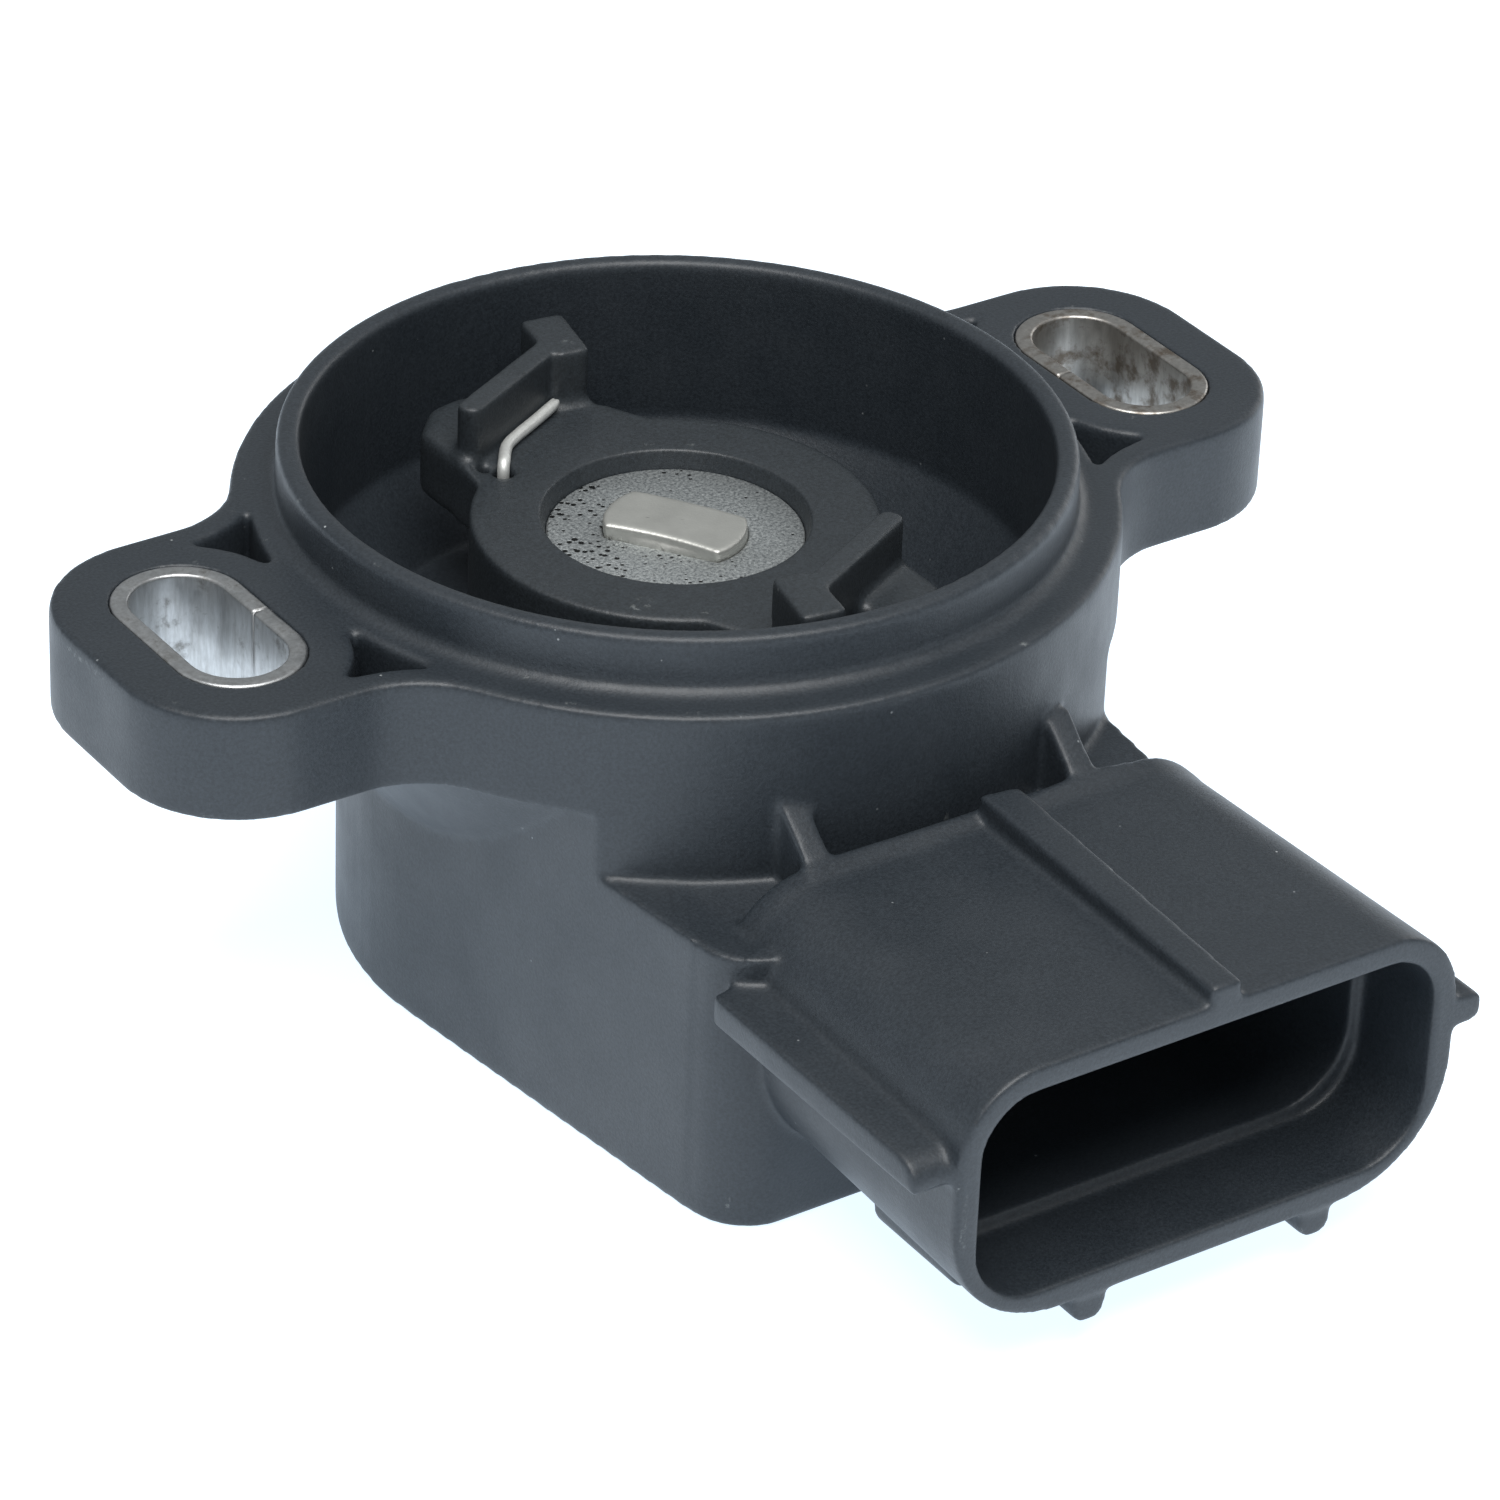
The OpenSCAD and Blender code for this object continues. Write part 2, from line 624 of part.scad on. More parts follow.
// Bend from the hole in the ring over to the fin
function tail_bend(a) = let (out = bend_r * (1 - cos(a)))
    beside_fin(tail_r * cos(tail_turn - fin_turn) + 0.9 * out, tail_r * sin(tail_turn - fin_turn) + 0.42 * out,
               tail_z - bend_r * (1 - sin(a)));
spring_points = concat(
    [[coil_r * cos(coil_from), coil_r * sin(coil_from), -cup_depth - 0.8]],
    [for (i = [0:coil_steps]) let (t = i / coil_steps, a = coil_from + t * (coil_to - coil_from))
        [coil_r * cos(a), coil_r * sin(a), -coil_low + t * (coil_low - coil_top)]],
    [[(tail_r - 0.3) * cos(tail_turn - 2), (tail_r - 0.3) * sin(tail_turn - 2), -coil_top + 0.05],
     [tail_r * cos(tail_turn), tail_r * sin(tail_turn), -coil_top + 0.5],
     for (a = [0, 30, 60, 90]) tail_bend(a),
     beside_fin(0.35, wire_y - 0.4, tail_z), beside_fin(0.95, wire_y - 0.12, tail_z), beside_fin(1.7, wire_y, tail_z),
     beside_fin(4.2, wire_y, tail_z), beside_fin(5.9, wire_y - 0.05, tail_z + 0.15)]);

function unit(v) = v / norm(v);
function along(p, i) = unit(p[min(i + 1, len(p) - 1)] - p[max(i - 1, 0)]);

// Sweeps a round wire of eight sides along a list of points
module spring_path_tube() {
    n = 8;
    p = spring_points;
    rings = [for (i = [0:len(p) - 1]) let (
        t = along(p, i),
        side = unit(cross(t, unit([p[i][0], p[i][1], 0]))),
        up = cross(side, t))
        for (k = [0:n - 1]) p[i] + wire_d / 2 * (cos(360 * k / n) * side + sin(360 * k / n) * up)];
    last = n * (len(p) - 1);
    polyhedron(rings, concat(
        [for (i = [0:len(p) - 2], k = [0:n - 1]) let (a = i * n + k, b = i * n + (k + 1) % n)
            [a, b, b + n, a + n]],
        [[for (k = [n - 1:-1:0]) k], [for (k = [0:n - 1]) last + k]]));
}

module resistor_board() color("#e6e3da") difference() {
    translate([0, 0, -board_low]) cylinder(r = chamber_r - 0.05, h = board_t);
    translate([0, 0, -board_low - 1]) cylinder(r = board_hole_r, h = board_t + 2);
    for (i = [0:3]) terminal_plan(i, fit_gap);
}

// Two printed arcs of resistive ink and their collector ring, under the brushes
module resistor_tracks() color("#1f1f22")
    for (r = [board_hole_r + 0.6, board_hole_r + track_w + 0.9]) translate([0, 0, -board_top])
        linear_extrude(0.04) sector(r, r + track_w, -track_span / 2, track_span / 2);

pin_mid = shroud_depth;
pin_tip = mouth_y - socket_depth + pin_l;
pin_circle = chamber_r - ledge_w - 1.2;
function pin_x(i) = shroud_x + (i - 1.5) * pin_pitch;
function pin_bend(i) = sqrt(pow(pin_circle, 2) - pow(pin_x(i), 2));

// A blade from the socket back into the chamber, bent down through the board
module terminal_plan(i, gap) {
    translate([pin_x(i) - pin_w / 2 - gap, -pin_tip, -pin_mid - pin_t / 2 - gap])
        cube([pin_w + 2 * gap, pin_tip - pin_bend(i) + gap, pin_t + 2 * gap]);
    translate([pin_x(i) - pin_w / 2 - gap, -pin_bend(i) - pin_t - gap, -board_low - 1])
        cube([pin_w + 2 * gap, pin_t + 2 * gap, board_low + 1 - pin_mid + pin_t / 2 + gap]);
}

module terminal_way(i) terminal_plan(i, seat_gap);

module terminal(i) color("#b9b6a8") terminal_plan(i, 0);
module terminal_1() terminal(0);
module terminal_2() terminal(1);
module terminal_3() terminal(2);
module terminal_4() terminal(3);

// Sprung clip that joins a terminal to the board
module terminal_clip(i) color("#c9b27a") {
    translate([pin_x(i) - lead_w / 2, -pin_bend(i) + seat_gap, -board_low - 0.8]) cube([lead_w, 0.3, 0.6]);
    translate([pin_x(i) - lead_w / 2, -pin_bend(i) + seat_gap, -board_low - 0.3 - seat_gap])
        cube([lead_w, lead_l, 0.3]);
}
module terminal_clip_1() terminal_clip(0);
module terminal_clip_2() terminal_clip(1);
module terminal_clip_3() terminal_clip(2);
module terminal_clip_4() terminal_clip(3);

// Disc with three posts that hold the board up against its ledge
module rear_cover() color("#2b2e31") {
    translate([0, 0, -cover_low]) cylinder(r = chamber_r + ledge_w - 0.1, h = cover_t - seal_h);
    for (a = [10, 90, 170]) rotate(a) translate([pin_circle, 0, -cover_low + e])
        cylinder(r = 0.9, h = cover_low - board_low - 0.1);
}

module cover_seal() color("#8a3b2a") difference() {
    translate([0, 0, -cover_top - seal_h]) cylinder(r = chamber_r + ledge_w - 0.1, h = seal_h);
    translate([0, 0, -cover_top - 1]) cylinder(r = chamber_r - 0.6, h = seal_h + 2);
}

housing();
insert_left();
insert_right();
rotor();
rotor_disc();
shaft();
return_spring();
thrust_washer();
bearing_bush();
brush_carrier();
brush_contact();
retaining_clip();
resistor_board();
resistor_tracks();
terminal_1();
terminal_2();
terminal_3();
terminal_4();
terminal_clip_1();
terminal_clip_2();
terminal_clip_3();
terminal_clip_4();
rear_cover();
cover_seal();
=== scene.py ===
"""Throttle position sensor, dressed piece by piece in the order in which it is put together."""
import bmesh
import bpy
import numpy as np
from mathutils import Matrix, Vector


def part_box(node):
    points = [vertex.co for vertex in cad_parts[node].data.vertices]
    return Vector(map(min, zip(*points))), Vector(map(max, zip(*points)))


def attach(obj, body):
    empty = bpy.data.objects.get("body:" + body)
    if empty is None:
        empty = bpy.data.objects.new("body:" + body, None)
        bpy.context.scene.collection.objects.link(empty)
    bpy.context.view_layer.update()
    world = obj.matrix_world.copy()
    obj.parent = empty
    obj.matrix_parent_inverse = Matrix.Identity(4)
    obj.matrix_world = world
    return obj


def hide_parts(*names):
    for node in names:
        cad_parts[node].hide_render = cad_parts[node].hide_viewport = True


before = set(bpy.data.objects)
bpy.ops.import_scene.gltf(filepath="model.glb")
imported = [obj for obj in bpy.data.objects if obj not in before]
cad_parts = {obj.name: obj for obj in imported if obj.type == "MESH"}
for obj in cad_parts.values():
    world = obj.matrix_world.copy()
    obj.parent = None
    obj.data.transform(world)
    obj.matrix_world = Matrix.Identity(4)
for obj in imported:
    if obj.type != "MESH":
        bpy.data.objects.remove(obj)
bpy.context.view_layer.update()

MM = 0.001

# Housing
# One injection moulding in black glass-filled nylon. The tool leaves every edge slightly rounded,
# and its crests are painted grey, partly as rub wear and partly as painted highlight.
HOUSING_GRID = 0.15 * MM
HOUSING_FACES = 195000
EDGE_PASSES = 8
BROAD_PASSES = 21
SEAT_PASSES = 3
SHROUD_MIDDLE = (1.85, -13.4)
SHROUD_HALF = (13.4, 6.35)
SHROUD_CORNERS = (4.2, 6.0)
BAND_ENDS = (-22.0, -23.3)
BAND_PROUD = 0.1
BAND_FULL = 0.7
SLOT_PLACE = 25.55
SLOT_HALF = 2.6
INSERT_REACH = 3.9
FLANGE_INNER = 20.0
UNDERSIDE_Z = -21.6


def linear(code):
    """Turns an sRGB hex colour into the linear values that a shader takes."""
    srgb = np.array([int(code[i:i + 2], 16) for i in (1, 3, 5)]) / 255
    return (*np.where(srgb < 0.04045, srgb / 12.92, ((srgb + 0.055) / 1.055) ** 2.4), 1.0)


def per_mm(size):
    """Scale of a pattern on Object coordinates whose features are size millimetres apart."""
    return 1 / (size * MM)


def add(tree, kind, inputs=(), **settings):
    """Adds one node: inputs maps a socket to a value or to another node's socket."""
    node = tree.nodes.new("ShaderNode" + kind)
    for name, value in settings.items():
        setattr(node, name, value)
    for name, value in dict(inputs).items():
        if isinstance(value, bpy.types.NodeSocket):
            tree.links.new(value, node.inputs[name])
        else:
            node.inputs[name].default_value = value
    return node


def new_finish(name):
    """An empty material: its tree, its shader and the Object coordinates."""
    material = bpy.data.materials.new(name)
    material.use_nodes = True
    tree = material.node_tree
    shader = tree.nodes["Principled BSDF"]
    place = add(tree, "TexCoord").outputs["Object"]
    return material, tree, shader, place


def moulded_nylon(name, dark, light, rough, dust):
    """Black glass-filled nylon: satin, faintly mottled, with fibre glints, dust, and grey crests of wear and
    painted highlight.
    """
    material, tree, shader, place = new_finish(name)
    link = tree.links.new
    # slow mottling of the skin, where the melt flowed unevenly
    flow = add(tree, "TexNoise", {"Vector": place, "Scale": per_mm(4), "Detail": 4, "Roughness": 0.6})
    body = add(tree, "Mix", {"Factor": flow.outputs["Fac"], "A": linear(dark), "B": linear(light)},
               data_type="RGBA")
    # the eroded tool's grain, drawn at 0.16 mm so that it shows
    grain = add(tree, "TexNoise", {"Vector": place, "Scale": per_mm(0.16), "Detail": 3, "Roughness": 0.7})
    grain_tone = add(tree, "MapRange", {"Value": grain.outputs["Fac"], "From Min": 0.35, "From Max": 0.75,
                                        "To Min": 0.0, "To Max": 0.2})
    grained = add(tree, "Mix", {"Factor": grain_tone.outputs[0], "A": body.outputs["Result"],
                                "B": linear("#565f67")}, data_type="RGBA")
    # crests painted a speckled grey, partly rub wear and partly painted highlight
    crest = add(tree, "MapRange", {"Value": add(tree, "NewGeometry").outputs["Pointiness"],
                                   "From Min": 0.58, "From Max": 0.68})
    crest_noise = add(tree, "TexNoise", {"Vector": place, "Scale": per_mm(0.35), "Detail": 5, "Roughness": 0.75})
    crest_speckle = add(tree, "MapRange", {"Value": crest_noise.outputs["Fac"], "From Min": 0.52, "From Max": 0.66})
    wear_and_highlight = add(tree, "Math", {0: crest.outputs[0], 1: crest_speckle.outputs[0]}, operation="MULTIPLY")
    wear_and_highlight_share = add(tree, "Math", {0: wear_and_highlight.outputs[0], 1: 0.4}, operation="MULTIPLY")
    crest_wear_and_highlight = add(tree, "Mix", {"Factor": wear_and_highlight_share.outputs[0], "A": grained.outputs["Result"],
                               "B": linear("#a9adab")}, data_type="RGBA")
    # single specks of dust and glass fibre, about 0.1 mm across
    cells = add(tree, "TexVoronoi", {"Vector": place, "Scale": per_mm(1.1), "Randomness": 1.0})
    speck = add(tree, "MapRange", {"Value": cells.outputs["Distance"], "From Min": 0.07, "From Max": 0.03})
    pick = add(tree, "MapRange", {"Value": cells.outputs["Color"], "From Min": 1 - dust, "From Max": 1.0})
    chosen = add(tree, "Math", {0: speck.outputs[0], 1: pick.outputs[0]}, operation="MULTIPLY",
                 use_clamp=True)
    dusty = add(tree, "Mix", {"Factor": chosen.outputs[0], "A": crest_wear_and_highlight.outputs["Result"],
                              "B": linear("#b8bcbd")}, data_type="RGBA")
    link(dusty.outputs["Result"], shader.inputs["Base Color"])
    sheen = add(tree, "MapRange", {"Value": flow.outputs["Fac"], "From Min": 0.3, "From Max": 0.7,
                                   "To Min": rough - 0.05, "To Max": rough + 0.07})
    link(sheen.outputs[0], shader.inputs["Roughness"])
    skin = add(tree, "Bump", {"Height": grain.outputs["Fac"], "Strength": 0.6, "Distance": 0.03 * MM})
    waves = add(tree, "TexNoise", {"Vector": place, "Scale": per_mm(2.2), "Detail": 2})
    wavy = add(tree, "Bump", {"Height": waves.outputs["Fac"], "Strength": 0.25, "Distance": 0.05 * MM,
                              "Normal": skin.outputs["Normal"]})
    link(wavy.outputs["Normal"], shader.inputs["Normal"])
    shader.inputs["IOR"].default_value = 1.5
    return material


def merged(node):
    """A copy of a CAD node's mesh with its loose triangles joined."""
    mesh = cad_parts[node].data.copy()
    shape = bmesh.new()
    shape.from_mesh(mesh)
    bmesh.ops.remove_doubles(shape, verts=shape.verts, dist=0.0005 * MM)
    shape.to_mesh(mesh)
    shape.free()
    return mesh


def show(name, mesh, material, body, slot, *nodes):
    """Makes the mesh a piece that rides on a body and stands for CAD nodes."""
    mesh.materials.clear()
    mesh.materials.append(material)
    piece = bpy.data.objects.new(name, mesh)
    bpy.context.scene.collection.objects.link(piece)
    mesh.shade_smooth()
    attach(piece, body)
    if nodes:
        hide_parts(*nodes)
    return piece


def applied(mesh, kind, **settings):
    """The mesh after one modifier."""
    holder = bpy.data.objects.new("holder", mesh)
    bpy.context.scene.collection.objects.link(holder)
    modifier = holder.modifiers.new("one", kind)
    for name, value in settings.items():
        setattr(modifier, name, value)
    seen = holder.evaluated_get(bpy.context.evaluated_depsgraph_get())
    result = bpy.data.meshes.new_from_object(seen)
    bpy.data.objects.remove(holder)
    return result


def points_of(mesh):
    """The mesh's points as an array of rows."""
    flat = np.empty(3 * len(mesh.vertices))
    mesh.vertices.foreach_get("co", flat)
    return flat.reshape(-1, 3)


def place_points(mesh, points):
    """Gives the mesh's points their new places."""
    mesh.vertices.foreach_set("co", points.ravel())
    mesh.update()


def soften(mesh, passes, strength):
    """Rounds edges: in each pass a point moves towards the mean of its neighbours.

    The step is strength(points, pass number), from 0 to 0.5 for each point.
    """
    edges = np.empty(2 * len(mesh.edges), dtype=np.int32)
    mesh.edges.foreach_get("vertices", edges)
    a, b = edges.reshape(-1, 2).T
    count = len(mesh.vertices)
    degree = np.bincount(a, minlength=count) + np.bincount(b, minlength=count)
    points = points_of(mesh)
    for turn in range(passes):
        total = np.stack([np.bincount(a, points[b, k], count) + np.bincount(b, points[a, k], count)
                          for k in range(3)], axis=1)
        mean = total / degree[:, None]
        points += strength(points, turn)[:, None] * (mean - points)
    place_points(mesh, points)


def moulded(mesh, grid, passes, strength, faces):
    """A mesh as it comes from the mould: one skin on a fine grid, its edges rounded."""
    mesh = applied(mesh, "REMESH", mode="VOXEL", voxel_size=grid)
    soften(mesh, passes, strength)
    ratio = min(1.0, faces / (2 * len(mesh.polygons)))
    return applied(mesh, "DECIMATE", ratio=ratio)


def with_faint_band(mesh):
    """Draws the band round the shroud's back end in until it stands 0.1 mm proud.

    A point's height over the shroud is its distance from a rectangle with round corners.
    """
    points = points_of(mesh)
    x, y, z = (points / MM).T
    across, up = x - SHROUD_MIDDLE[0], z - SHROUD_MIDDLE[1]
    corner = np.where(up > 0, *SHROUD_CORNERS)
    beyond = np.stack([np.clip(np.abs(across) - (SHROUD_HALF[0] - corner), 0, None) * np.sign(across),
                       np.clip(np.abs(up) - (SHROUD_HALF[1] - corner), 0, None) * np.sign(up)])
    reach = np.hypot(*beyond)
    height = reach - corner
    at_end = np.min([np.abs(y - end) for end in BAND_ENDS], axis=0) < 0.02
    on_band = at_end & (height > BAND_PROUD) & (height < BAND_FULL)
    pull = np.where(on_band, (height - BAND_PROUD) / np.maximum(reach, 1e-6), 0.0)
    points[:, 0] -= pull * beyond[0] * MM
    points[:, 2] -= pull * beyond[1] * MM
    place_points(mesh, points)
    return mesh


def housing_rounding(points, turn):
    """Broad rounding on the flange's upper edge and the underside, least round the inserts."""
    x, y, z = (points / MM).T
    from_slot = np.hypot(np.abs(x) - SLOT_PLACE, np.clip(np.abs(y) - SLOT_HALF, 0, None))
    near_insert = from_slot < INSERT_REACH
    flange_edge = (np.abs(z) < 0.9) & (np.hypot(x, y) > FLANGE_INNER)
    broad = flange_edge | (z < UNDERSIDE_Z)
    passes = np.select([near_insert, broad], [SEAT_PASSES, BROAD_PASSES], EDGE_PASSES)
    return np.where(turn < passes, 0.5, 0.0)


housing_nylon = moulded_nylon("glass_filled_nylon", "#1c2126", "#24292e", 0.44, 0.25)
housing_mesh = moulded(with_faint_band(merged("housing")), HOUSING_GRID, BROAD_PASSES, housing_rounding,
                       HOUSING_FACES)
show("housing_skin", housing_mesh, housing_nylon, "housing_body", "black_nylon", "housing")

# Slot inserts
# Strips of zinc-plated steel rolled into a slot shape with a butt seam, and moulded into the ears.
# They take the screws' load. The screws have scuffed their rims and streaked their bores.
STRIP_THICKNESS = 0.88
STRIP_ROUND = 0.16
STRIP_SEAM = 0.12
STRIP_STEPS = 161


def scuffed_steel(name, tone, stain, stain_amount):
    """Rolled and plated steel: bright and streaked along the strip, dulled and stained in patches."""
    material, tree, shader, place = new_finish(name)
    link = tree.links.new
    flat = add(tree, "Mapping", {"Vector": place, "Scale": (1, 1, 0.18)})
    streak = add(tree, "TexNoise", {"Vector": flat.outputs[0], "Scale": per_mm(0.3), "Detail": 5,
                                    "Roughness": 0.7})
    patch = add(tree, "TexNoise", {"Vector": place, "Scale": per_mm(1.4), "Detail": 5, "Roughness": 0.65})
    mask = add(tree, "MapRange", {"Value": patch.outputs["Fac"], "From Min": 0.62 - stain_amount,
                                  "From Max": 0.7 - stain_amount / 2})
    stained = add(tree, "Mix", {"Factor": mask.outputs[0], "A": linear(tone), "B": linear(stain)},
                  data_type="RGBA")
    shade = add(tree, "MapRange", {"Value": streak.outputs["Fac"], "From Min": 0.3, "From Max": 0.7,
                                   "To Min": 0.0, "To Max": 0.5})
    coloured = add(tree, "Mix", {"Factor": shade.outputs[0], "A": stained.outputs["Result"],
                                 "B": linear("#77736e")}, data_type="RGBA")
    link(coloured.outputs["Result"], shader.inputs["Base Color"])
    dull = add(tree, "MapRange", {"Value": patch.outputs["Fac"], "From Min": 0.3, "From Max": 0.7,
                                  "To Min": 0.28, "To Max": 0.55})
    link(dull.outputs[0], shader.inputs["Roughness"])
    relief = add(tree, "Bump", {"Height": streak.outputs["Fac"], "Strength": 0.5, "Distance": 0.02 * MM})
    link(relief.outputs["Normal"], shader.inputs["Normal"])
    shader.inputs["Metallic"].default_value = 1.0
    return material


def rounded_section(half_w, half_h, radius, steps):
    """Outline of a rectangle with round corners: four quarter circles, one after another."""
    turn = np.linspace(0, np.pi / 2, steps)
    quarters = []
    for k, (sx, sy) in enumerate([(1, 1), (-1, 1), (-1, -1), (1, -1)]):
        a = turn + k * np.pi / 2
        quarters.append(np.stack([sx * (half_w - radius) + radius * np.cos(a),
                                  sy * (half_h - radius) + radius * np.sin(a)], axis=1))
    return np.concatenate(quarters)


def swept(rings):
    """Mesh through rings of points, an array of ring by point by xyz, with capped ends."""
    count, size = rings.shape[:2]
    i, k = np.meshgrid(np.arange(count - 1), np.arange(size), indexing="ij")
    ahead, after = i + 1, (k + 1) % size
    quads = np.stack([i * size + k, ahead * size + k, ahead * size + after, i * size + after], axis=-1)
    faces = quads.reshape(-1, 4).tolist()
    faces += [list(range(size)), list(range(count * size - 1, (count - 1) * size - 1, -1))]
    mesh = bpy.data.meshes.new("swept")
    mesh.from_pydata(rings.reshape(-1, 3).tolist(), [], faces)
    shape = bmesh.new()
    shape.from_mesh(mesh)
    bmesh.ops.recalc_face_normals(shape, faces=shape.faces)
    shape.to_mesh(mesh)
    shape.free()
    return mesh


def rolled_strip(node, seam_side):
    """The strip's rounded section carried round a slot outline, open at the seam.

    The outline is two half circles joined by straights; its outward normal carries the section.
    """
    low, high = (np.array(corner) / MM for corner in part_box(node))
    centre = (low + high) / 2
    outer = (high[0] - low[0]) / 2
    half = (high[1] - low[1]) / 2 - outer
    inner = outer - STRIP_THICKNESS
    middle = (outer + inner) / 2
    length = 4 * half + 2 * np.pi * middle
    # s is the distance along the outline, from the middle of the straight at the seam
    s = np.linspace(STRIP_SEAM / 2, length - STRIP_SEAM / 2, STRIP_STEPS)
    arc = np.pi * middle
    first = s < half
    top = (s >= half) & (s < half + arc)
    far = (s >= half + arc) & (s < 3 * half + arc)
    bottom = (s >= 3 * half + arc) & (s < 3 * half + 2 * arc)
    angle = np.select([first, top, far, bottom],
                      [0, (s - half) / middle, np.pi, np.pi + (s - 3 * half - arc) / middle], 2 * np.pi)
    x = middle * np.cos(angle)
    y = np.select([first, top, far, bottom],
                  [s, half + middle * np.sin(angle), 2 * half + arc - s,
                   -half + middle * np.sin(angle)], s - length)
    section = rounded_section((outer - inner) / 2, (high[2] - low[2]) / 2, STRIP_ROUND, 5)
    normal = np.stack([np.cos(angle), np.sin(angle), 0 * angle], axis=1)
    rings = (np.stack([x, y, 0 * x], axis=1)[:, None] + section[None, :, :1] * normal[:, None]
             + section[None, :, 1:] * np.array([0, 0, 1]))
    rings[..., :2] *= seam_side
    return swept((rings + centre) * MM)


left_steel = scuffed_steel("plated_steel_left", "#c6c8c9", "#8b8b89", 0.06)
right_steel = scuffed_steel("plated_steel_right", "#bcb9b4", "#756a5e", 0.14)
show("insert_left_strip", rolled_strip("insert_left", 1), left_steel, "housing_body", "insert_steel",
     "insert_left")
show("insert_right_strip", rolled_strip("insert_right", -1), right_steel, "housing_body", "insert_steel",
     "insert_right")

# Bearing bush and thrust washer
# The bush is pressed and sintered bronze, full of oil, and a steel washer rides on its top end.
# Both stay out of sight under the rotor's disc.


def turned_metal(name, tone, rough):
    """Turned metal: fine rings of tool marks, 0.15 mm apart, round the Z axis."""
    material, tree, shader, place = new_finish(name)
    link = tree.links.new
    rings = add(tree, "TexWave", {"Vector": place, "Scale": per_mm(0.15) / (2 * np.pi),
                                  "Distortion": 1.5, "Detail": 2},
                wave_type="RINGS", rings_direction="Z")
    cloud = add(tree, "TexNoise", {"Vector": place, "Scale": per_mm(1.2), "Detail": 4})
    toned = add(tree, "Mix", {"Factor": cloud.outputs["Fac"], "A": linear(tone), "B": linear("#6e675e")},
                data_type="RGBA")
    link(toned.outputs["Result"], shader.inputs["Base Color"])
    marks = add(tree, "MapRange", {"Value": cloud.outputs["Fac"], "To Min": rough - 0.06,
                                   "To Max": rough + 0.1})
    link(marks.outputs[0], shader.inputs["Roughness"])
    relief = add(tree, "Bump", {"Height": rings.outputs["Fac"], "Strength": 0.3, "Distance": 0.01 * MM})
    link(relief.outputs["Normal"], shader.inputs["Normal"])
    shader.inputs["Metallic"].default_value = 1.0
    return material


def bevelled(node, name, width, material, body, slot):
    """A copy of a CAD node with its sharp edges broken by a bevel, width in mm."""
    mesh = merged(node)
    shape = bmesh.new()
    shape.from_mesh(mesh)
    bmesh.ops.dissolve_limit(shape, angle_limit=np.radians(0.4), verts=shape.verts, edges=shape.edges)
    shape.to_mesh(mesh)
    shape.free()
    piece = show(name, mesh, material, body, slot, node)
    bevel = piece.modifiers.new("broken edges", "BEVEL")
    bevel.width = width * MM
    bevel.segments = 3
    bevel.angle_limit = np.radians(35)
    bevel.harden_normals = True
    return piece


def dress(node, material):
    """Gives a CAD node a finish of its own."""
    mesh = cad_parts[node].data
    mesh.materials.clear()
    mesh.materials.append(material)


dress("bearing_bush", turned_metal("oiled_bronze", "#a98a55", 0.42))
dress("thrust_washer", turned_metal("ground_washer_steel", "#bdbab4", 0.3))

# Rotor
# The drive ring with its two fins, heads and lugs is a second moulding in the same black nylon.
# The throttle's lever pushes on the fins; their crests are painted grey, partly as rub wear and partly as
# painted highlight.
ROTOR_GRID = 0.11 * MM
ROTOR_FACES = 150000
FIN_PASSES = 26
LUG_PASSES = 70
FIN_TURN = np.radians(27.4)
FIN_FACE = 10.4
FIN_ALONG = (-1.3, 8.0)
FIN_AWAY = (10.45, 11.35)
FIN_GROWTH = 0.45
FIN_LIFT = 0.35
RING_LIFT = 0.6
LUG_DROP = 0.5
FIN_TOP_Z = 1.2
LUG_TOP_Z = -1.0
RING_TOP_Z = -2.1
DISC_SEAT = 6.6
LUG_INNER = 11.4


def along_and_away(points, turn):
    """Places in mm along a line through the axis, turned from X by an angle, and away from it."""
    x, y = (points[:, :2] / MM).T
    return x * np.cos(turn) + y * np.sin(turn), y * np.cos(turn) - x * np.sin(turn)


def push_away(points, turn, out):
    """Moves points by out mm at right angles to that line."""
    points[:, 0] -= out * np.sin(turn) * MM
    points[:, 1] += out * np.cos(turn) * MM


def shaped_rotor(mesh):
    """Lifts the ring's top, thickens and lifts the fins, and slopes the lugs down to the ring.

    The rotor is the same turned by half a turn, so u runs along the nearer fin and v away from the axis.
    """
    points = points_of(mesh)
    u, v = along_and_away(points, FIN_TURN)
    z = points[:, 2] / MM
    half = np.where(v < 0, -1.0, 1.0)
    u, v = u * half, v * half
    along = (u > FIN_ALONG[0]) & (u < FIN_ALONG[1])
    fin = along & (v > FIN_AWAY[0]) & (v < FIN_AWAY[1]) & (z > RING_TOP_Z - 0.1)
    out = np.where(fin, FIN_GROWTH * (v - FIN_FACE), 0.0) * half
    push_away(points, FIN_TURN, out)
    ring_top, fin_top, lug_top = (np.abs(z - top) < 0.05 for top in (RING_TOP_Z, FIN_TOP_Z, LUG_TOP_Z))
    inner_lug = lug_top & (u < -0.9) & (v < FIN_AWAY[0])
    lift = np.select([ring_top, fin_top, inner_lug], [RING_LIFT, FIN_LIFT, -LUG_DROP], 0.0)
    points[:, 2] += lift * MM
    place_points(mesh, points)
    return mesh


def rotor_rounding(points, turn):
    """Rounds the ring and the fins, the seat of the disc less and the outer lugs more."""
    ring = np.hypot(*(points[:, :2] / MM).T)
    depth = -points[:, 2] / MM
    lug = (ring > LUG_INNER) & (depth > 0.5)
    passes = np.select([ring < DISC_SEAT, lug], [SEAT_PASSES, LUG_PASSES], FIN_PASSES)
    return np.where(turn < passes, 0.5, 0.0)


rotor_nylon = moulded_nylon("rotor_nylon", "#1d2124", "#25292c", 0.44, 0.12)
rotor_mesh = moulded(shaped_rotor(merged("rotor")), ROTOR_GRID, LUG_PASSES, rotor_rounding, ROTOR_FACES)
show("rotor_skin", rotor_mesh, rotor_nylon, "rotor_body", "rotor_nylon", "rotor")

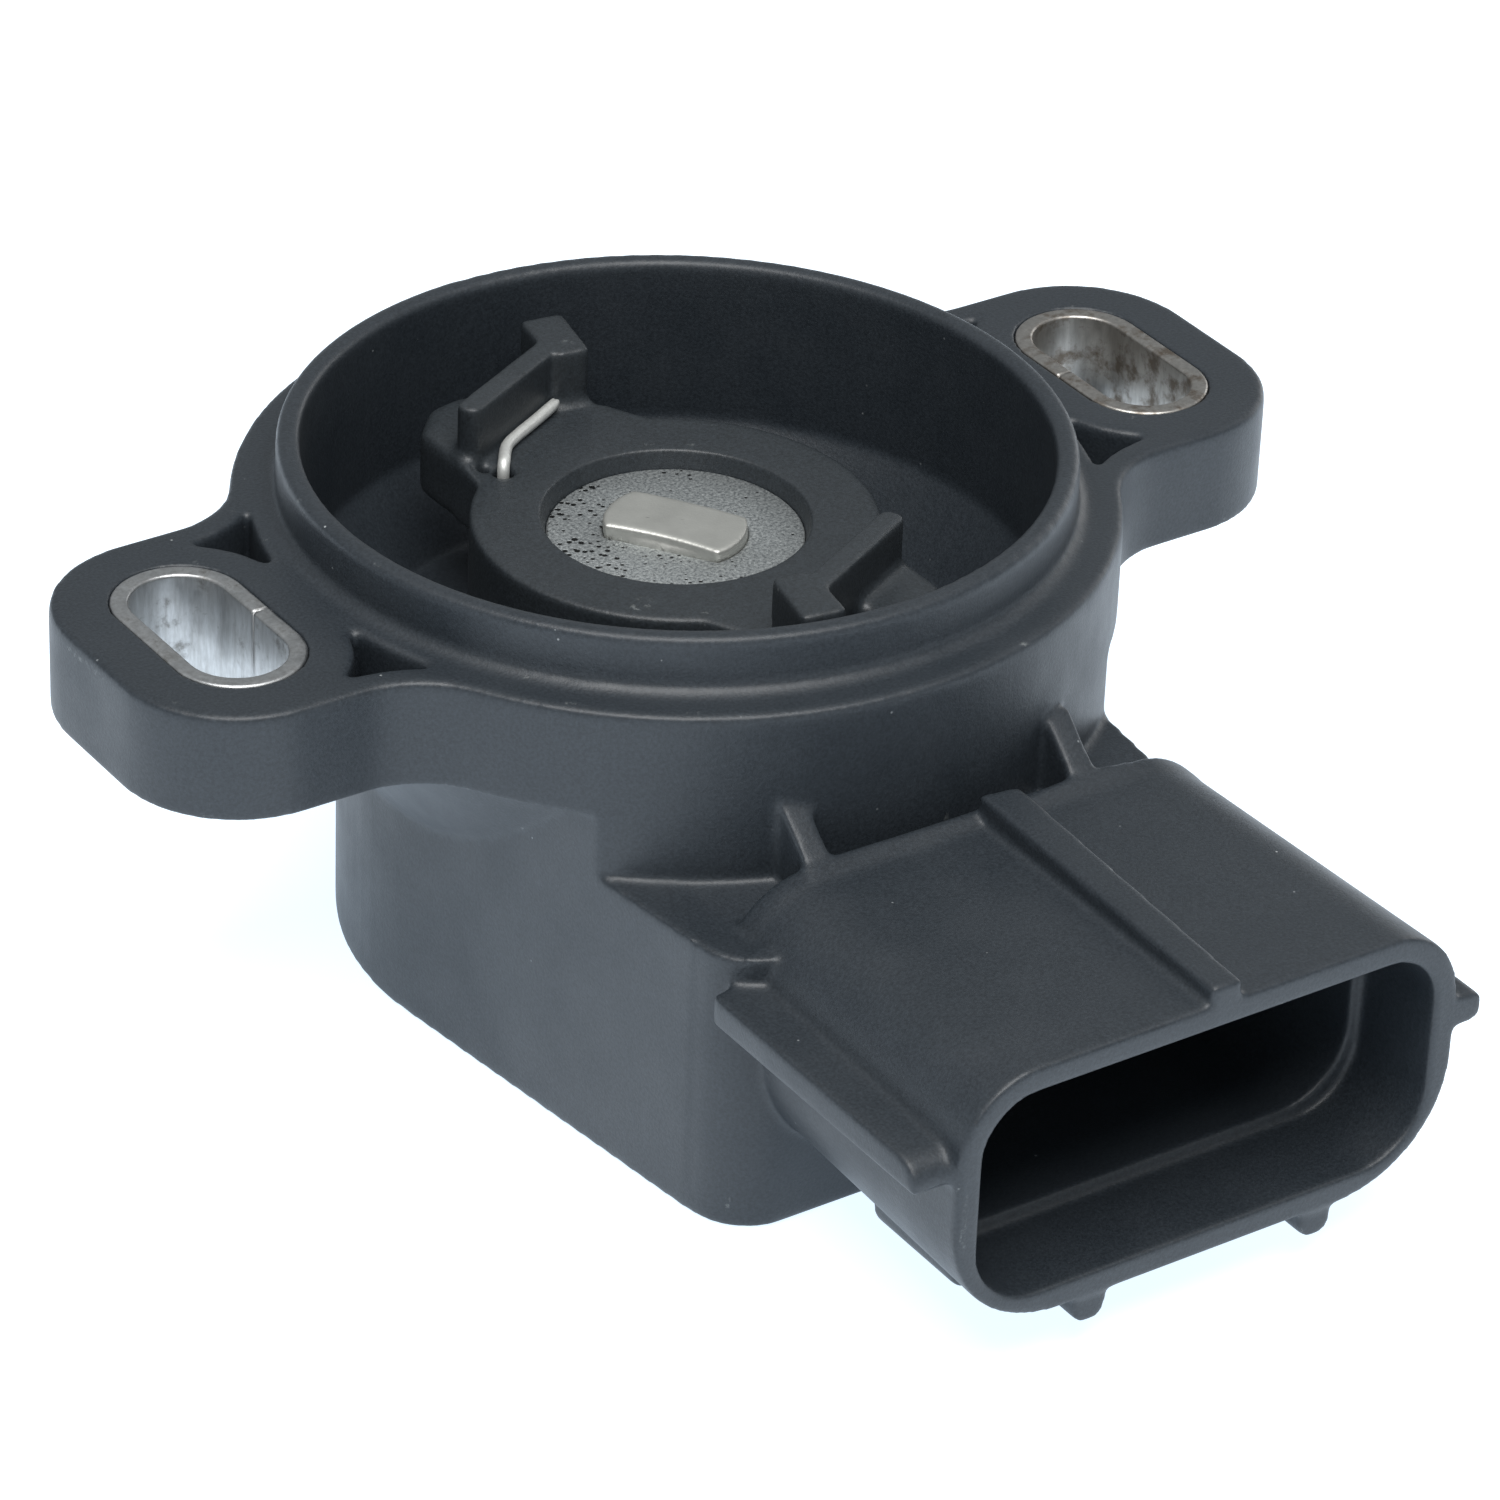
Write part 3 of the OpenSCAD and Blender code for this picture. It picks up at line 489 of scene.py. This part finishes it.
# Sintered disc and shaft
# The disc is pressed from iron powder and sintered, so its face is granular with small pits.
# The shaft's end is sheared to two flats and pressed through it.
KEY_TURN = np.radians(-55)
KEY_HALF = 3.4
KEY_BOW = 0.35
KEY_FOOT_Z = -2.4
SHAFT_GRID = 0.09 * MM
SHAFT_FACES = 60000
SHAFT_PASSES = 10


def sintered_iron(name):
    """Sintered iron: light and dark grains 0.16 mm apart and dark pits 0.42 mm apart, denser to one side."""
    material, tree, shader, place = new_finish(name)
    link = tree.links.new
    grain = add(tree, "TexNoise", {"Vector": place, "Scale": per_mm(0.16), "Detail": 4, "Roughness": 0.7})
    tone = add(tree, "MapRange", {"Value": grain.outputs["Fac"], "From Min": 0.36, "From Max": 0.66})
    toned = add(tree, "Mix", {"Factor": tone.outputs[0], "A": linear("#75797b"), "B": linear("#c6cac9")},
                data_type="RGBA")
    pits = add(tree, "TexVoronoi", {"Vector": place, "Scale": per_mm(0.42), "Randomness": 1.0})
    side = add(tree, "VectorMath", {0: place, 1: (-0.75, 0.1, 0.0)}, operation="DOT_PRODUCT")
    patches = add(tree, "TexNoise", {"Vector": place, "Scale": per_mm(2.0), "Detail": 3})
    slope = add(tree, "MapRange", {"Value": side.outputs["Value"], "From Min": -5 * MM, "From Max": 5 * MM,
                                   "To Min": -0.12, "To Max": 0.16})
    spread = add(tree, "Math", {0: slope.outputs[0], 1: patches.outputs["Fac"]}, operation="ADD")
    reach = add(tree, "MapRange", {"Value": spread.outputs[0], "From Min": 0.35, "From Max": 0.75,
                                   "To Min": 0.04, "To Max": 0.42})
    pit = add(tree, "Math", {0: reach.outputs[0], 1: pits.outputs["Distance"]}, operation="SUBTRACT")
    pit_mask = add(tree, "MapRange", {"Value": pit.outputs[0], "From Min": 0.0, "From Max": 0.08})
    pitted = add(tree, "Mix", {"Factor": pit_mask.outputs[0], "A": toned.outputs["Result"],
                               "B": linear("#232424")}, data_type="RGBA")
    link(pitted.outputs["Result"], shader.inputs["Base Color"])
    depth = add(tree, "Math", {0: grain.outputs["Fac"], 1: pit_mask.outputs[0]}, operation="SUBTRACT")
    relief = add(tree, "Bump", {"Height": depth.outputs[0], "Strength": 0.6, "Distance": 0.06 * MM})
    link(relief.outputs["Normal"], shader.inputs["Normal"])
    shader.inputs["Metallic"].default_value = 0.85
    shader.inputs["Roughness"].default_value = 0.5
    return material


def sheared_steel(name):
    """Sheared and blasted steel: warm grey, finely pitted, darker in soft patches."""
    material, tree, shader, place = new_finish(name)
    link = tree.links.new
    cloud = add(tree, "TexNoise", {"Vector": place, "Scale": per_mm(1.6), "Detail": 5, "Roughness": 0.6})
    toned = add(tree, "Mix", {"Factor": cloud.outputs["Fac"], "A": linear("#d2d2cc"),
                              "B": linear("#b3b3ae")}, data_type="RGBA")
    link(toned.outputs["Result"], shader.inputs["Base Color"])
    pores = add(tree, "TexNoise", {"Vector": place, "Scale": per_mm(0.14), "Detail": 3})
    relief = add(tree, "Bump", {"Height": pores.outputs["Fac"], "Strength": 0.4, "Distance": 0.03 * MM})
    link(relief.outputs["Normal"], shader.inputs["Normal"])
    shader.inputs["Metallic"].default_value = 0.9
    shader.inputs["Roughness"].default_value = 0.5
    return material


bevelled("rotor_disc", "sintered_disc", 0.12, sintered_iron("sintered_iron"), "rotor_body",
         "sintered_steel")


def bowed_key(mesh):
    """Lowers the key's top a little and bows it to one side by KEY_BOW (1/2 - (u / KEY_HALF)^2) mm."""
    points = points_of(mesh)
    u, v = along_and_away(points, KEY_TURN)
    above = np.clip((points[:, 2] / MM - KEY_FOOT_Z) / 0.4, 0, 1)
    bow = above * KEY_BOW * (0.5 - (u / KEY_HALF) ** 2) * np.where(v < 0, 1.0, 0.5)
    push_away(points, KEY_TURN, bow)
    points[:, 2] -= above * (0.1 + 0.02 * u) * MM
    place_points(mesh, points)
    return mesh


def shaft_rounding(points, turn):
    """The same rounding on every edge."""
    return np.full(len(points), 0.5)


shaft_mesh = bowed_key(moulded(merged("shaft"), SHAFT_GRID, SHAFT_PASSES, shaft_rounding, SHAFT_FACES))
show("flattened_shaft", shaft_mesh, sheared_steel("sheared_steel"), "rotor_body", "shaft_steel", "shaft")

# Return spring
# Hard-drawn spring wire, 0.65 mm thick: one leg stands in the cup's floor, the coils lie in the rotor's
# groove, and the free end comes up through the ring and lies along the first fin.
WIRE_LIFT_FROM_Z = -3.4
WIRE_LIFT_OVER = 1.0


def drawn_wire(name):
    """Plated drawn wire: light, matte, with faint die marks."""
    material, tree, shader, place = new_finish(name)
    link = tree.links.new
    marks = add(tree, "TexNoise", {"Vector": place, "Scale": per_mm(0.2), "Detail": 4})
    toned = add(tree, "Mix", {"Factor": marks.outputs["Fac"], "A": linear("#e2e3e0"),
                              "B": linear("#c3c4c0")}, data_type="RGBA")
    link(toned.outputs["Result"], shader.inputs["Base Color"])
    relief = add(tree, "Bump", {"Height": marks.outputs["Fac"], "Strength": 0.25, "Distance": 0.01 * MM})
    link(relief.outputs["Normal"], shader.inputs["Normal"])
    shader.inputs["Metallic"].default_value = 0.6
    shader.inputs["Roughness"].default_value = 0.5
    return material


spring_wire = drawn_wire("spring_wire")
wire_mesh = merged("return_spring")
wire_points = points_of(wire_mesh)
rise = np.clip((wire_points[:, 2] / MM - WIRE_LIFT_FROM_Z) / WIRE_LIFT_OVER, 0, 1)
wire_points[:, 2] += RING_LIFT * rise * MM
place_points(wire_mesh, wire_points)
spring = show("return_spring_wire", wire_mesh, spring_wire, "rotor_body", "spring_steel", "return_spring")
round_wire = spring.modifiers.new("round wire", "SUBSURF")
round_wire.levels = round_wire.render_levels = 2
dress("retaining_clip", spring_wire)

# Wiper
# A disc of natural nylon pressed on the shaft carries a comb of four sprung fingers, stamped from a
# silver-copper alloy, which slide on the printed tracks.


def plain_plastic(name, tone, shade, rough, grain_size):
    """Unfilled moulded plastic, ceramic, ink or rubber: nearly even, with a fine grain."""
    material, tree, shader, place = new_finish(name)
    link = tree.links.new
    cloud = add(tree, "TexNoise", {"Vector": place, "Scale": per_mm(2.5), "Detail": 4})
    toned = add(tree, "Mix", {"Factor": cloud.outputs["Fac"], "A": linear(tone), "B": linear(shade)},
                data_type="RGBA")
    link(toned.outputs["Result"], shader.inputs["Base Color"])
    grain = add(tree, "TexNoise", {"Vector": place, "Scale": per_mm(grain_size), "Detail": 3})
    relief = add(tree, "Bump", {"Height": grain.outputs["Fac"], "Strength": 0.3, "Distance": 0.02 * MM})
    link(relief.outputs["Normal"], shader.inputs["Normal"])
    shader.inputs["Roughness"].default_value = rough
    return material


dress("brush_carrier", plain_plastic("natural_nylon", "#d8d2c0", "#c9c1ab", 0.45, 0.2))
dress("brush_contact", turned_metal("silver_copper", "#c9a860", 0.28))

# Resistor board
# A fired alumina disc with two printed arcs of resistive ink, held up against the chamber's ledge.
# The ceramic is pale and matt, and the ink is a dark, slightly glossy film.
dress("resistor_board", plain_plastic("fired_alumina", "#e6e3da", "#d6d2c6", 0.5, 0.12))
dress("resistor_tracks", plain_plastic("resistive_ink", "#1f1f22", "#2b2b2e", 0.35, 0.1))

# Terminals
# Four blades stamped from brass and tinned, moulded into the housing and bent down through the board,
# each with a sprung clip that joins it to its track.
tin = turned_metal("tinned_brass", "#c4c1b6", 0.32)
clip_brass = turned_metal("clip_brass", "#c9b27a", 0.3)
for number in range(1, 5):
    bevelled(f"terminal_{number}", f"terminal_blade_{number}", 0.12, tin, "housing_body", "tinned_brass")
    dress(f"terminal_clip_{number}", clip_brass)

# Rear cover
# A plain nylon disc with three posts closes the chamber, on a ring of silicone rubber.
# It was moulded in the housing's black nylon, and it has seen less wear.
cover_nylon = moulded_nylon("cover_nylon", "#1f2429", "#282d32", 0.45, 0.12)
bevelled("rear_cover", "rear_cover_disc", 0.2, cover_nylon, "housing_body", "cover_nylon")
dress("cover_seal", plain_plastic("silicone_rubber", "#8a3b2a", "#7a3123", 0.6, 0.15))

# Studio
# A light table with soft light: a large panel overhead, a box low on the right and a dim room.
# The camera stands where the photograph was taken from, with a long lens.
FLOOR_Z = -23.4
FLOOR_HALF = 1500
FLOOR_GLOW = 1.15
ROOM_GLOW = 0.4
CAMERA_PLACE = (-159.0, -234.2, 157.7)
CAMERA_TURN, CAMERA_RISE, CAMERA_ROLL = np.radians([-34.973, 31.299, 2.319])
LENS_RATIO = 6833.4 / 1500
SENSOR = 36.0


def studio_floor():
    """A flat sheet under the sensor, lit from behind as on a light table."""
    mesh = bpy.data.meshes.new("floor")
    corners = [(-1, -1), (1, -1), (1, 1), (-1, 1)]
    points = [(x * FLOOR_HALF * MM, y * FLOOR_HALF * MM, FLOOR_Z * MM) for x, y in corners]
    mesh.from_pydata(points, [], [(0, 1, 2, 3)])
    floor = bpy.data.objects.new("floor", mesh)
    bpy.context.scene.collection.objects.link(floor)
    material, tree, shader, place = new_finish("pale_floor")
    shader.inputs["Base Color"].default_value = linear("#b4b4b4")
    shader.inputs["Roughness"].default_value = 0.9
    shader.inputs["Emission Color"].default_value = linear("#dceeff")
    shader.inputs["Emission Strength"].default_value = FLOOR_GLOW
    mesh.materials.append(material)


def panel(name, place, aim, size, power):
    """A square light panel, facing the aim point: places and size in metres, power in watts."""
    light = bpy.data.lights.new(name, "AREA")
    light.size = size
    light.energy = power
    lamp = bpy.data.objects.new(name, light)
    back = np.array(place, float) - np.array(aim, float)
    back /= np.linalg.norm(back)
    side = np.cross([0.0, 1.0, 0.0] if abs(back[2]) > 0.9 else [0.0, 0.0, 1.0], back)
    side /= np.linalg.norm(side)
    turn = np.stack([side, np.cross(back, side), back], axis=1)
    lamp.matrix_world = Matrix.Translation(place) @ Matrix(turn.tolist()).to_4x4()
    bpy.context.scene.collection.objects.link(lamp)


def set_camera():
    """Camera axes from the turn about Z, the rise over the horizon and the roll."""
    a, e, r = CAMERA_TURN, CAMERA_RISE, CAMERA_ROLL
    back = np.array([np.sin(a) * np.cos(e), -np.cos(a) * np.cos(e), np.sin(e)])
    right = np.array([np.cos(a), np.sin(a), 0.0])
    up = np.cross(back, right)
    right, up = right * np.cos(r) + up * np.sin(r), up * np.cos(r) - right * np.sin(r)
    data = bpy.data.cameras.new("camera")
    data.sensor_fit = "HORIZONTAL"
    data.sensor_width = SENSOR
    data.lens = LENS_RATIO * SENSOR
    data.clip_start = 0.01
    camera = bpy.data.objects.new("camera", data)
    axes = Matrix(np.stack([right, up, back], axis=1).tolist()).to_4x4()
    camera.matrix_world = Matrix.Translation(np.array(CAMERA_PLACE) * MM) @ axes
    bpy.context.scene.collection.objects.link(camera)
    bpy.context.scene.camera = camera


studio_floor()
set_camera()
panel("overhead", place=(-0.12, -0.2, 0.55), aim=(0, 0, 0), size=0.45, power=4.8)
panel("right box", place=(0.45, 0.12, 0.08), aim=(0, 0, -0.01), size=0.25, power=0.35)
room = bpy.data.worlds.new("room")
room.use_nodes = True
sky = room.node_tree.nodes["Background"]
sky.inputs["Color"].default_value = linear("#ecf1f4")
sky.inputs["Strength"].default_value = ROOM_GLOW
bpy.context.scene.world = room
bpy.context.scene.view_settings.view_transform = "Standard"
